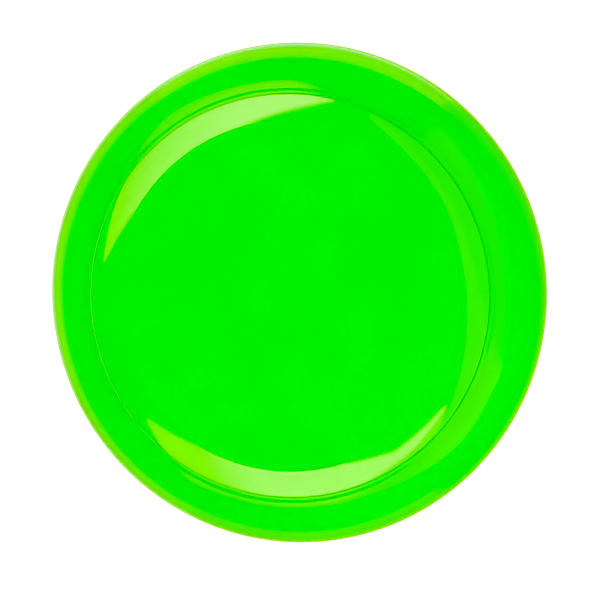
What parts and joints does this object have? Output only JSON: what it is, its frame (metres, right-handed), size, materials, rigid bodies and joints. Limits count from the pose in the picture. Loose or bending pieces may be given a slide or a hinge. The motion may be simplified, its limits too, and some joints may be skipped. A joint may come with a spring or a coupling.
{
  "type": "flying disc",
  "caption": "Round throwing disc: a thin level flight plate with a sloping shoulder, held in a rounded rim that turns down into a lip and leaves a hollow for the fingers.",
  "frame": {"origin": "centre of the plane that the rim's lip stands on, on the disc's axis", "axes": "+Z along the disc's axis, out of its convex top; the disc is a turned shape, so +X and +Y are any two radii at a right angle"},
  "size_m": [0.235, 0.235, 0.032],
  "materials": {
    "plate_plastic": "gloss",
    "rim_plastic": "satin"
  },
  "bodies": {
    "root": {"flight_plate": "plate_plastic", "rim": "rim_plastic"}
  },
  "joints": []
}
